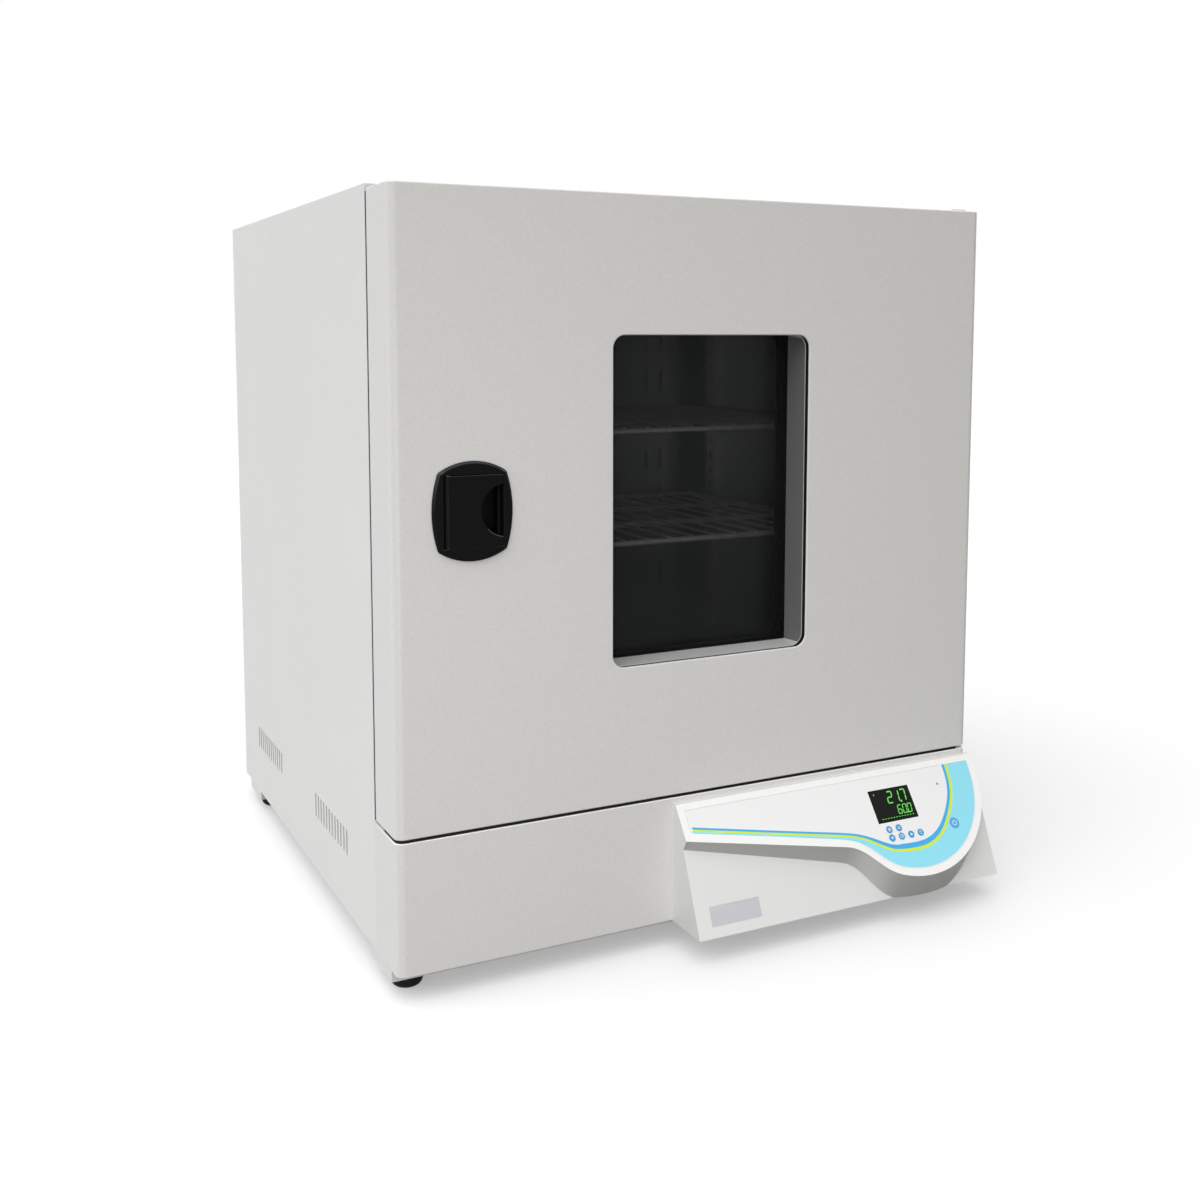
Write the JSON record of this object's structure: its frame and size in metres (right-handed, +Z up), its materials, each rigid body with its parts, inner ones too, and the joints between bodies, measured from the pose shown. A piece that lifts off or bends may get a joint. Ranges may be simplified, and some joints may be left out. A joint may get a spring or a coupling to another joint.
{
  "type": "laboratory oven",
  "caption": "Bench-top laboratory drying oven with a hinged insulated door, recessed window, paddle latch, wire shelves, circulation fan and a sloped control console.",
  "frame": {"origin": "on the surface it stands on, at the middle of the overall width and depth", "axes": "+Z up, -Y out of the door's front face, +X to the right seen from the front"},
  "size_m": [0.68, 0.7834, 0.767],
  "materials": {
    "cabinet_paint": "fine pebbled powder coat",
    "door_paint": "fine pebbled powder coat",
    "stainless": "brushed",
    "zinc_sheet": "zinc plated",
    "reveal_frame": "satin silver paint",
    "console_plastic": "satin moulding",
    "film_print": "printed film with stripes",
    "key_print": "printed film",
    "black_plastic": "satin black moulding",
    "display_glass": "smoked window over a lit display",
    "lamp_lens": "clear red lens",
    "rubber": "matt",
    "silicone": "matt",
    "wool": "pressed mineral wool",
    "window_glass": "smoked double glazing",
    "board": "solder mask",
    "plate_silver": "satin"
  },
  "bodies": {
    "cabinet": {"left_side_panel": "cabinet_paint", "right_side_panel": "cabinet_paint", "top_panel": "cabinet_paint", "back_panel": "cabinet_paint", "base_pan": "zinc_sheet", "front_frame": "cabinet_paint", "insulation_casing": "zinc_sheet", "plinth_cover": "door_paint", "front_foot_rail": "door_paint", "rear_foot_rail": "door_paint", "rubber_feet": "rubber", "chamber_left_wall": "stainless", "chamber_right_wall": "stainless", "chamber_ceiling": "stainless", "chamber_floor": "stainless", "chamber_back": "stainless", "chamber_insulation": "wool", "shelf_uprights": "stainless", "shelf_clips": "stainless", "upper_shelf": "stainless", "lower_shelf": "stainless", "air_baffle": "stainless", "heating_element": "stainless", "temperature_probe": "stainless", "fan_motor": "zinc_sheet", "door_gasket": "silicone", "top_hinge_bracket": "zinc_sheet", "bottom_hinge_bracket": "zinc_sheet", "latch_keeper": "zinc_sheet", "control_console": "console_plastic", "keypad_film": "film_print", "display_module": "display_glass", "standby_lamp": "lamp_lens", "nameplate": "plate_silver", "control_board": "board", "power_module": "board", "mains_inlet": "black_plastic", "exhaust_vent": "stainless", "cabinet_screws": "zinc_sheet"},
    "fan": {"fan_wheel": "stainless", "fan_shaft": "stainless"},
    "door": {"door_outer_panel": "door_paint", "door_inner_panel": "stainless", "door_insulation": "wool", "window_frame": "reveal_frame", "outer_glass": "window_glass", "inner_glass": "window_glass", "window_gasket": "rubber", "latch_housing": "black_plastic", "latch_pin": "zinc_sheet", "latch_spring": "zinc_sheet"},
    "paddle": {"latch_paddle": "black_plastic"},
    "tongue": {"latch_tongue": "zinc_sheet"},
    "mode_key": {"mode_key": "key_print"},
    "set_key": {"set_key": "key_print"},
    "down_key": {"down_key": "key_print"},
    "timer_key": {"timer_key": "key_print"},
    "up_key": {"up_key": "key_print"},
    "lamp_key": {"lamp_key": "key_print"},
    "power_key": {"power_key": "key_print"}
  },
  "joints": [
    {"name": "door_swing", "type": "hinge", "parent": "cabinet", "child": "door", "pos_m": [0.328, -0.28459, 0.159], "axis": [0, 0, 1], "range_deg": [0, 165]},
    {"name": "paddle_pull", "type": "hinge", "parent": "door", "child": "paddle", "pos_m": [-0.2859, -0.31639, 0.464], "axis": [0, 0, -1], "range_deg": [0, 24], "stiffness_Nm_per_rad": 0.5, "springref_deg": -5.73},
    {"name": "tongue_slide", "type": "slide", "parent": "door", "child": "tongue", "axis": [1, 0, 0], "range_m": [0, 0.0117]},
    {"name": "fan_spin", "type": "hinge", "parent": "cabinet", "child": "fan", "pos_m": [0, 0.19121, 0.456], "axis": [0, 1, 0], "continuous": true},
    {"name": "mode_key_press", "type": "slide", "parent": "cabinet", "child": "mode_key", "axis": [0, 0.809, -0.5878], "range_m": [0, 0.0005], "stiffness_N_per_m": 400, "springref_m": -0.0005},
    {"name": "set_key_press", "type": "slide", "parent": "cabinet", "child": "set_key", "axis": [0, 0.809, -0.5878], "range_m": [0, 0.0005], "stiffness_N_per_m": 400, "springref_m": -0.0005},
    {"name": "down_key_press", "type": "slide", "parent": "cabinet", "child": "down_key", "axis": [0, 0.809, -0.5878], "range_m": [0, 0.0005], "stiffness_N_per_m": 400, "springref_m": -0.0005},
    {"name": "timer_key_press", "type": "slide", "parent": "cabinet", "child": "timer_key", "axis": [0, 0.809, -0.5878], "range_m": [0, 0.0005], "stiffness_N_per_m": 400, "springref_m": -0.0005},
    {"name": "up_key_press", "type": "slide", "parent": "cabinet", "child": "up_key", "axis": [0, 0.809, -0.5878], "range_m": [0, 0.0005], "stiffness_N_per_m": 400, "springref_m": -0.0005},
    {"name": "lamp_key_press", "type": "slide", "parent": "cabinet", "child": "lamp_key", "axis": [0, 0.809, -0.5878], "range_m": [0, 0.0005], "stiffness_N_per_m": 400, "springref_m": -0.0005},
    {"name": "power_key_press", "type": "slide", "parent": "cabinet", "child": "power_key", "axis": [0, 0.809, -0.5878], "range_m": [0, 0.0005], "stiffness_N_per_m": 400, "springref_m": -0.0005}
  ],
  "couplings": [
    {"joint": "paddle_pull", "follows": "tongue_slide", "rad_per_m": 35.759}
  ]
}
